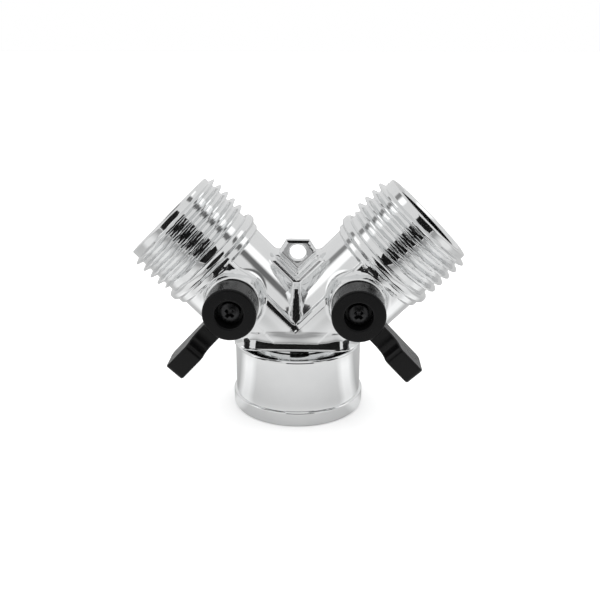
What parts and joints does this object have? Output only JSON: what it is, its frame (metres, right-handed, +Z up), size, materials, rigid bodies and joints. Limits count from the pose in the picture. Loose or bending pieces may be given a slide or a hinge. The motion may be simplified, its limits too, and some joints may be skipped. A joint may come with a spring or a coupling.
{
  "type": "hose splitter",
  "caption": "Y-shaped chrome garden hose splitter with a swivel inlet nut at the foot, threaded outlets at the top and black quarter-turn levers on the front.",
  "frame": {"origin": "the middle of the base of the whole object, on the plane that the nut's lower face rests on", "axes": "+X to the right outlet, along the longest side; +Y to the back, away from the levers; +Z up, along the swivel nut's axis"},
  "size_m": [0.0778, 0.0392, 0.0549],
  "materials": {
    "chrome": "bright chrome plate on a zinc casting",
    "black_plastic": "semi-gloss moulded black",
    "black_steel": "black oxide",
    "brass": "turned",
    "brass_ball": "chrome-plated brass ball",
    "spring_steel": "plain spring steel",
    "rubber": "black rubber",
    "ptfe": "white PTFE"
  },
  "bodies": {
    "body": {"valve_body": "chrome", "retaining_ring": "spring_steel", "left_inlet_seat": "ptfe", "left_outlet_seat": "ptfe", "left_seat_retainer": "brass", "right_inlet_seat": "ptfe", "right_outlet_seat": "ptfe", "right_seat_retainer": "brass"},
    "inlet_nut": {"swivel_nut": "chrome", "inlet_washer": "rubber"},
    "left_valve": {"left_lever": "black_plastic", "left_lever_screw": "black_steel", "left_stem": "brass", "left_stem_o_ring_inner": "rubber", "left_stem_o_ring_outer": "rubber", "left_ball": "brass_ball"},
    "right_valve": {"right_lever": "black_plastic", "right_lever_screw": "black_steel", "right_stem": "brass", "right_stem_o_ring_inner": "rubber", "right_stem_o_ring_outer": "rubber", "right_ball": "brass_ball"}
  },
  "joints": [
    {"name": "nut_swivel", "type": "hinge", "parent": "body", "child": "inlet_nut", "pos_m": [0, 0.00373, 0.008], "axis": [0, 0, 1], "continuous": true},
    {"name": "left_valve_turn", "type": "hinge", "parent": "body", "child": "left_valve", "pos_m": [-0.0139, 0.00373, 0.02971], "axis": [0, 1, 0], "range_deg": [0, 93]},
    {"name": "right_valve_turn", "type": "hinge", "parent": "body", "child": "right_valve", "pos_m": [0.0139, 0.00373, 0.02971], "axis": [0, -1, 0], "range_deg": [0, 93]}
  ]
}
